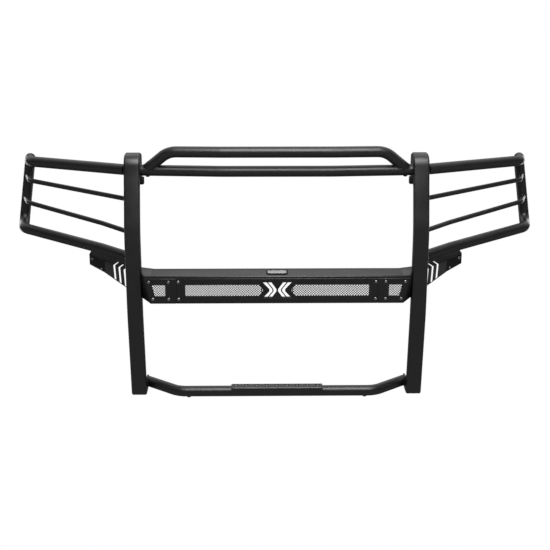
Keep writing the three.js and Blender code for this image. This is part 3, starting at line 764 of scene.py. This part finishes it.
wing_direction = (1, 0.475, 0)
top_weld = plane_weld(on_wing(560, CROSS_Z), wing_direction, TUBE, EAR_OUTER + 0.8)
publish_pair("wing_top_weld", top_weld, COAT_WELD)
lower_direction = (124.5, 124.5 * 0.475, 23.6)
low_weld = plane_weld(on_wing(560, 512.7), lower_direction, TUBE, WEB_FACE + 1)
publish_pair("wing_low_weld", low_weld, COAT_WELD)
for label, height, slope in (("upper", 713.9, 0.087), ("lower", 593.8, 0.21)):
    bead = plane_weld(on_wing(WEB_FACE, height), (1, 0.475, slope), ROD, WEB_FACE + 0.8, 1.5)
    publish_pair(f"wing_rod_weld_{label}", bead, COAT_WELD)


def rod_end_weld(rear_z, x):
    """A small bead where a rod meets the wing's rear member."""
    along = (rear_z - REAR_TOP.z) / (REAR_BOTTOM.z - REAR_TOP.z)
    centre = REAR_TOP.lerp(REAR_BOTTOM, along)
    direction = (Vector(on_wing(x, rear_z)) - centre).normalized()
    side = direction.orthogonal().normalized()
    up = direction.cross(side)
    loop = []
    for k in range(24):
        a = 2 * math.pi * k / 24
        offset = side * (math.cos(a) * (ROD + 0.4)) + up * (math.sin(a) * (ROD + 0.4))
        reach = math.sqrt(max(TUBE ** 2 - offset.x ** 2, 1))
        loop.append(centre + offset + direction * reach)
    return weld(loop, 1.4)


publish_pair("wing_rod_end_weld_upper", rod_end_weld(750, 896), COAT_WELD)
publish_pair("wing_rod_end_weld_lower", rod_end_weld(667, 907), COAT_WELD)

# ------------------------------------------------------------------ light bar


def chevron(tip, notch, inner, outer):
    low, high, middle, flat = 397.0, 453.0, 425.0, 4.0
    return [
        (inner, high), (outer, high), (notch, middle + flat), (notch, middle - flat),
        (outer, low), (inner, low), (tip, middle - flat), (tip, middle + flat),
    ]


def flip(points):
    return [(-x, z) for x, z in points]


CHEVRONS = [chevron(3, 12.7, 20.2, 31.7), chevron(17, 27, 36.4, 49.6)]
CENTRE_WINDOW = [
    (62, WINDOW_TOP), (316, WINDOW_TOP), (316, WINDOW_BOTTOM), (62, WINDOW_BOTTOM),
    (50, 420.2), (50, 429.2),
]
SIDE_WINDOW = [(385, WINDOW_BOTTOM), (421.5, WINDOW_BOTTOM), (430, WINDOW_TOP), (385, WINDOW_TOP)]


def pierced(outline, openings, front, back):
    cutters = [prism_y(opening, front - 5, back + 5) for opening in openings]
    return carve(prism_y(outline, front, back), cutters)


def screw_holes(places):
    return [ring(3.4, 16, x, z) for x, z in places]


def housing():
    fold = 5.0
    section = [(BAR_BACK, BAR_TOP - 12), (BAR_BACK, BAR_TOP - 3)]
    section += arc(BAR_BACK - 3, BAR_TOP - 3, 3, 0, 90, 4)
    section += [(20, BAR_TOP), (-20, BAR_TOP)]
    section += arc(BAR_FRONT + fold, BAR_TOP - fold, fold, 90, 180, 6)
    section += [(BAR_FRONT, BAR_TOP - 9)]
    top = folded(section, -BAR_END, BAR_END, 2)
    section = [(BAR_FRONT, BAR_BOTTOM + 6)]
    section += arc(BAR_FRONT + 3, BAR_BOTTOM + 3, 3, 180, 270, 4)
    section += [(BAR_FLOOR_BACK, BAR_BOTTOM)]
    floor = folded(section, -BAR_END, BAR_END, 2)
    wall = [
        (-BAR_END, BAR_BOTTOM + 5), (BAR_END, BAR_BOTTOM + 5),
        (BAR_END, BAR_TOP - 8), (-BAR_END, BAR_TOP - 8),
    ]
    centre = [(-51, 395), (51, 395), (51, 455), (-51, 455)]
    long_window = [(55, 402), (320, 402), (320, 447.5), (55, 447.5)]
    end_window = [(381, 403), (BAR_END + 5, 403), (BAR_END + 5, 446.5), (381, 446.5)]
    openings = [centre, long_window, flip(long_window), end_window, flip(end_window)]
    front = pierced(wall, openings, BAR_FRONT, BAR_FRONT + SHEET)
    return join(softened(top, 0.5), softened(floor, 0.5), front)


publish("light_bar_housing_look", housing(), COAT, "light_bar_housing")


def panel(outline, openings):
    """A pierced panel whose top edge is rounded more than the rest."""
    middle_x = (outline[-1][0] + outline[-2][0]) / 2
    plate = prism_y(outline, PANEL_FRONT, PANEL_FRONT + SHEET)

    def top_edge(point):
        return point.z > PANEL_TOP - 1 and abs(point.x - middle_x) < 1 and point.y < PANEL_FRONT + 1

    plate = rounded_edges(plate, 2.4, 4, top_edge)
    cutters = [prism_y(opening, PANEL_FRONT - 5, PANEL_FRONT + SHEET + 5) for opening in openings]
    return softened(carve(plate, cutters), 0.6)


def centre_panel():
    edge = SEAM - SEAM_HALF
    outline = [(-edge, PANEL_BOTTOM), (edge, PANEL_BOTTOM), (edge, PANEL_TOP), (-edge, PANEL_TOP)]
    openings = [CENTRE_WINDOW] + CHEVRONS + screw_holes(CENTRE_SCREWS)
    openings += [flip(opening) for opening in openings]
    return panel(outline, openings)


def side_panel():
    edge = SEAM + SEAM_HALF
    outline = [(edge, PANEL_BOTTOM), (436, PANEL_BOTTOM), (457.5, PANEL_TOP), (edge, PANEL_TOP)]
    return panel(outline, [SIDE_WINDOW] + screw_holes(SIDE_SCREWS))


publish("centre_panel_look", centre_panel(), COAT_PANEL, "centre_panel")
publish_pair("side_panel", side_panel(), COAT_PANEL, "side_panel")

MESH_PITCH_X = 9.1
MESH_PITCH_Z = 8.9
MESH_STRAND = 2.6


def strand(x0, x1, z, swing, y, thick):
    """One zigzag strand of the expanded mesh, as one closed strip that starts z + swing high."""
    count = math.floor((x1 - x0) / (MESH_PITCH_X / 2))
    step = (x1 - x0) / count
    half = MESH_STRAND / 2
    bm = bmesh.new()
    rings = []
    for i in range(count + 1):
        low = z + swing * (-1) ** i - half
        high = low + 2 * half
        corners = [(y, low), (y + thick, low), (y + thick, high), (y, high)]
        rings.append([bm.verts.new(at(x0 + i * step, depth, height)) for depth, height in corners])
    for a, b in zip(rings, rings[1:]):
        for k in range(4):
            bm.faces.new((a[k], a[(k + 1) % 4], b[(k + 1) % 4], b[k]))
    bm.faces.new(list(reversed(rings[0])))
    bm.faces.new(rings[-1])
    return bm


def lattice(x0, x1, z0, z1, y, thick=1.5):
    """Expanded metal: zigzag strands that meet their neighbours at the knots."""
    rows = round((z1 - z0 - MESH_STRAND) / (MESH_PITCH_Z / 2))
    rise = (z1 - z0 - MESH_STRAND) / rows
    strands = []
    for row in range(rows):
        middle = z0 + MESH_STRAND / 2 + (row + 0.5) * rise
        strands.append(strand(x0, x1, middle, (-1) ** row * rise / 2, y, thick))
    return join(*strands)


mesh_front = BAR_FRONT + SHEET + 0.3
for mesh_name, edges in (("centre_mesh", (52.5, 321, 400, 449.5)), ("side_mesh", (381, 432, 403, 448.5))):
    publish_pair(mesh_name, lattice(*edges, mesh_front), MESH_WIRE, mesh_name)


def housing_end():
    """Folded end piece from the housing to the upright."""
    rear_x = UPRIGHT_X - 3.3
    rear_y = BAR_BACK + 26
    top = [
        (434.3, BAR_FRONT, BAR_TOP), (458, BAR_FRONT, BAR_TOP), (EAR_INNER, -5, BAR_TOP),
        (EAR_INNER, 23, BAR_TOP), (rear_x, 23, BAR_TOP), (rear_x, rear_y, BAR_TOP),
        (434.3, BAR_BACK, BAR_TOP),
    ]
    low = [
        (434.3, BAR_FRONT, BAR_BOTTOM), (436.5, BAR_FRONT, BAR_BOTTOM), (EAR_INNER, 18, BAR_BOTTOM),
        (EAR_INNER, 23, BAR_BOTTOM), (rear_x, 23, BAR_BOTTOM), (rear_x, rear_y, BAR_BOTTOM),
        (434.3, BAR_BACK, BAR_BOTTOM),
    ]
    bm = bmesh.new()
    upper = [bm.verts.new(at(*p)) for p in top]
    lower = [bm.verts.new(at(*p)) for p in low]
    bm.faces.new((upper[0], upper[1], upper[2], upper[3]))
    bm.faces.new((upper[0], upper[3], upper[4], upper[5]))
    bm.faces.new((upper[0], upper[5], upper[6]))
    bm.faces.new(list(reversed(lower)))
    bm.faces.new((upper[0], lower[0], lower[1], upper[1]))
    bm.faces.new((upper[1], lower[1], lower[2], upper[2]))
    bm.faces.new((upper[2], lower[2], lower[3], upper[3]))
    bm.faces.new((upper[3], lower[3], lower[4], upper[4]))
    bm.faces.new((upper[4], lower[4], lower[5], upper[5]))
    bmesh.ops.recalc_face_normals(bm, faces=bm.faces)
    front = min(bm.faces, key=lambda f: f.calc_center_median().y)
    if front.normal.y > 0:
        bmesh.ops.reverse_faces(bm, faces=bm.faces)
    shell = modified(bm, "SOLIDIFY", thickness=SHEET / 1000, offset=-1, use_even_offset=True)
    window = prism_y([(430, 403), (438, 403), (438, 446.5), (430, 446.5)], BAR_FRONT - 5, BAR_FRONT + 8)
    return softened(carve(shell, [window]), 1.6, 3)


publish_pair("housing_end", housing_end(), COAT, "housing_end")


def badge_plate(half_width, front, back, radius, low, high):
    """A plate with rounded corners, lying on the housing's top."""
    outline = []
    corners = [
        (half_width - radius, back - radius, 0), (radius - half_width, back - radius, 90),
        (radius - half_width, front + radius, 180), (half_width - radius, front + radius, 270),
    ]
    for x, y, start in corners:
        outline += arc(x, y, radius, start, start + 90, 6)
    return softened(prism_z(outline, low, high), 0.3)


badge_top = BAR_TOP + 2.3
frame_plate = badge_plate(37.5, -31.5, 26.5, 14, BAR_TOP + 0.3, badge_top - 0.4)
publish("badge_plate_look", frame_plate, COAT_DULL_AND_SHADE, "badge_plate")
insert = badge_plate(33, -20, 18, 10, badge_top - 0.6, badge_top)
publish("badge_insert", insert, SATIN_METAL)

# ------------------------------------------------------------------ pods


def pod_y(x):
    return 95 + (x - 528) * POD_SWEEP


def pod_fold(x):
    return 468.5 + (x - 589) * 0.238


def pod_low(x):
    if x < POD_KINK[0]:
        return POD_KINK[1] - (POD_KINK[0] - x) * 0.475
    return POD_KINK[1] + (x - POD_KINK[0]) * (POD_END[1] - POD_KINK[1]) / (POD_END[0] - POD_KINK[0])


def pod_block():
    """The pod's outer form, solid, with its long fold and its outer corner rounded."""
    end = POD_END[0]
    outline = [
        (WEB_FACE, pod_low(WEB_FACE)), POD_KINK, POD_END,
        (end, pod_fold(end)), (WEB_FACE, pod_fold(WEB_FACE)),
    ]
    block = prism_y(outline, 0, POD_DEPTH, pod_y)
    middle_x = (WEB_FACE + end) / 2

    def folded_edge(point):
        front = point.y < pod_y(point.x) + 1
        along_top = abs(point.x - middle_x) < 1 and point.z > pod_fold(middle_x) - 1
        return front and (along_top or point.x > end - 1)

    return rounded_edges(block, 3.5, 5, folded_edge)


def pod_shell():
    """Face, top and outer end, open behind and below."""
    end = POD_END[0] - SHEET
    inside = WEB_FACE - 5
    room = [
        (inside, 300), (end, POD_END[1] - 20),
        (end, pod_fold(end) - SHEET), (inside, pod_fold(inside) - SHEET),
    ]
    return carve(pod_block(), [prism_y(room, SHEET * 1.2, POD_DEPTH + 5, pod_y)])


def pod_slot_cutters(x):
    """The slot's long arm down the face and its short arm across the top."""
    fold = pod_fold(x)
    width = POD_SLOT_WIDTH
    foot = POD_SLOT_FOOT
    face = [
        (x, fold + 5), (x - width, fold + 5), (x - width, fold - 5),
        (x - width - foot, pod_low(x - width - foot) + POD_RIM), (x - foot, pod_low(x - foot) + POD_RIM),
        (x, fold - 5),
    ]
    lean = POD_SLOT_LEAN
    top = [
        (x, -5), (x, 2), (x - lean, POD_SLOT_REACH - 10), (x - width - lean, POD_SLOT_REACH),
        (x - width, 2), (x - width, -5),
    ]
    return [prism_y(face, -5, 6, pod_y), prism_z(top, fold - 12, fold + 12, pod_y)]


def pod_panel_outline(margin):
    inner, outer = POD_KINK[0] + margin, POD_END[0] - margin
    return [
        (inner, POD_KINK[1] + 1 + margin), (outer, POD_END[1] + 1 + margin),
        (outer, pod_fold(outer) - margin), (inner, pod_fold(inner) - margin),
    ]


def pod():
    cutters = [cutter for x in POD_SLOTS for cutter in pod_slot_cutters(x)]
    return softened(carve(pod_shell(), cutters), 0.6, 2, 50)


def pod_panel():
    """The removable plate over the pod's outer end, with a rounded rim."""
    return softened(prism_y(pod_panel_outline(0), -3.4, -0.4, pod_y), 1.5, 4)


# The pods' faces are painted lighter and their upward faces darker: painted light and painted shade.
publish_pair("pod_housing", pod(), COAT_POD_LIT, "pod_housing", top=COAT_DULL_AND_SHADE)
publish_pair("pod_panel", pod_panel(), COAT_DARK_AND_SHADE, "pod_panel")

# ------------------------------------------------------------------ screws


def button_screw(seat, direction):
    """Domed head with a hex socket, resting on a face at seat, in mm."""
    axis = Vector(direction).normalized()
    side = axis.orthogonal().normalized()
    up = axis.cross(side)
    sides = 30
    bm = bmesh.new()

    def loop(radius, height, hexagon=False):
        points = []
        for k in range(sides):
            a = 2 * math.pi * k / sides
            reach = radius
            if hexagon:
                reach = radius * math.cos(math.pi / 6) / math.cos((a % (math.pi / 3)) - math.pi / 6)
            offset = side * (math.cos(a) * reach) + up * (math.sin(a) * reach)
            points.append(bm.verts.new(at(*(Vector(seat) + offset - axis * height))))
        return points

    rings = [
        loop(3, -5), loop(3, 0.3), loop(5.4, 0.3), loop(5.5, 0.9), loop(5.2, 1.8), loop(4.4, 2.6),
        loop(3.2, 3.1), loop(2.5, 3.2, True), loop(2.4, 3.0, True), loop(2.4, 1.4, True),
    ]
    for a, b in zip(rings, rings[1:]):
        for k in range(sides):
            bm.faces.new((a[k], a[(k + 1) % sides], b[(k + 1) % sides], b[k]))
    bm.faces.new(rings[0])
    bm.faces.new(rings[-1])
    return bm


for index, (x, z) in enumerate(CENTRE_SCREWS):
    publish_pair("centre_screw", button_screw((x, PANEL_FRONT, z), (0, 1, 0)), BLACK_STEEL,
                 "centre_screw", suffix=f"_{index + 1}")
for index, (x, z) in enumerate(SIDE_SCREWS):
    publish_pair("side_screw", button_screw((x, PANEL_FRONT, z), (0, 1, 0)), BLACK_STEEL,
                 "side_screw", suffix=f"_{index + 1}")
for index, (x, z) in enumerate(POD_SCREWS):
    publish_pair("pod_screw", button_screw((x, pod_y(x) - 3.4, z), (-POD_SWEEP, 1, 0)), BLACK_STEEL,
                 "pod_screw", suffix=f"_{index + 1}")

# ------------------------------------------------------------------ floor, light and camera


def camera_only(name, bm, material):
    """A stage surface that the camera sees, and that neither lights the guard nor shows in its gloss."""
    data = bpy.data.meshes.new(name)
    bm.to_mesh(data)
    bm.free()
    data.materials.append(material)
    piece = bpy.data.objects.new(name, data)
    bpy.context.scene.collection.objects.link(piece)
    piece.visible_diffuse = False
    piece.visible_glossy = False
    piece.visible_transmission = False
    piece.visible_shadow = False
    return piece


def white_stage():
    """A plain white floor and the white cove round it."""
    material, nodes, links, shader = new_material("studio_white")
    shader.inputs["Base Color"].default_value = (0, 0, 0, 1)
    shader.inputs["Specular IOR Level"].default_value = 0
    shader.inputs["Emission Color"].default_value = (1, 1, 1, 1)
    shader.inputs["Emission Strength"].default_value = 1.0
    ground = bmesh.new()
    bmesh.ops.create_grid(ground, x_segments=8, y_segments=8, size=12)
    floor = camera_only("floor", ground, material)
    floor.location.z = -0.2115
    cove = bmesh.new()
    bmesh.ops.create_icosphere(cove, subdivisions=4, radius=14)
    camera_only("cove", cove, material)


def studio_world():
    """The room's own light: faint in front, and at the back rising from a dark floor to a pale wall."""
    world = bpy.data.worlds.new("studio")
    world.use_nodes = True
    nodes, links = world.node_tree.nodes, world.node_tree.links
    direction = nodes.new("ShaderNodeTexCoord")
    split = nodes.new("ShaderNodeSeparateXYZ")
    links.new(direction.outputs["Generated"], split.inputs["Vector"])

    def ramp(source, start, end, low, high):
        node = nodes.new("ShaderNodeMapRange")
        node.interpolation_type = "SMOOTHSTEP"
        for key, value in (("From Min", start), ("From Max", end), ("To Min", low), ("To Max", high)):
            node.inputs[key].default_value = value
        links.new(source, node.inputs["Value"])
        return node.outputs["Result"]

    wall = ramp(split.outputs["Z"], 0.14, 0.34, 0.02, 0.95)
    floor = ramp(split.outputs["Z"], -0.2, 0.0, 0.12, 0.0)
    front = ramp(split.outputs["Z"], -0.1, 0.25, 0.36, 0.08)
    back = nodes.new("ShaderNodeMath")
    links.new(wall, back.inputs[0])
    links.new(floor, back.inputs[1])
    behind = ramp(split.outputs["Y"], -0.4, 0.4, 0.0, 1.0)
    mix = nodes.new("ShaderNodeMix")
    links.new(behind, mix.inputs["Factor"])
    links.new(front, mix.inputs["A"])
    links.new(back.outputs["Value"], mix.inputs["B"])
    nodes["Background"].inputs["Color"].default_value = (1, 1, 1, 1)
    links.new(mix.outputs["Result"], nodes["Background"].inputs["Strength"])
    bpy.context.scene.world = world


def softbox(name, place, target, width, height, radiance):
    """An area light; radiance is its brightness, so its power follows from its size."""
    data = bpy.data.lights.new(name, "AREA")
    data.shape = "RECTANGLE"
    data.size, data.size_y = width, height
    data.energy = radiance * width * height * math.pi
    light = bpy.data.objects.new(name, data)
    light.location = place
    aim = Vector(target) - Vector(place)
    light.rotation_mode = "QUATERNION"
    light.rotation_quaternion = aim.to_track_quat("-Z", "Y")
    light.visible_camera = False
    bpy.context.scene.collection.objects.link(light)


def camera():
    pitch, yaw, roll = math.radians(16), math.radians(0.914), math.radians(-0.07)
    forward = Vector((
        math.sin(yaw) * math.cos(pitch), math.cos(yaw) * math.cos(pitch), -math.sin(pitch),
    ))
    right = Vector((math.cos(yaw), -math.sin(yaw), 0))
    up = right.cross(forward)
    tilted = right * math.cos(roll) - up * math.sin(roll)
    upward = right * math.sin(roll) + up * math.cos(roll)
    data = bpy.data.cameras.new("camera")
    data.sensor_width = 36
    data.lens = 67.418
    eye = bpy.data.objects.new("camera", data)
    axes = Matrix((tilted, upward, -forward)).transposed()
    eye.matrix_world = Matrix.Translation(at(-61.9, -3440, 1452)) @ axes.to_4x4()
    bpy.context.scene.collection.objects.link(eye)
    bpy.context.scene.camera = eye


white_stage()
camera()
bpy.context.scene.view_settings.view_transform = "Standard"
studio_world()
softbox("key", (0.25, -1.6, 2.7), (0.1, 0, 0.35), 2.3, 2.1, 9.5)
softbox("top_fill", (0, 1.2, 3.0), (0, 0.6, 0), 4.0, 3.0, 0.4)
softbox("side_right", (2.6, 2.4, 0.1), (0.8, 0.2, 0.3), 1.0, 2.2, 3.0)
softbox("side_left", (-2.6, 2.4, 0.1), (-0.8, 0.2, 0.3), 1.0, 2.2, 3.0)
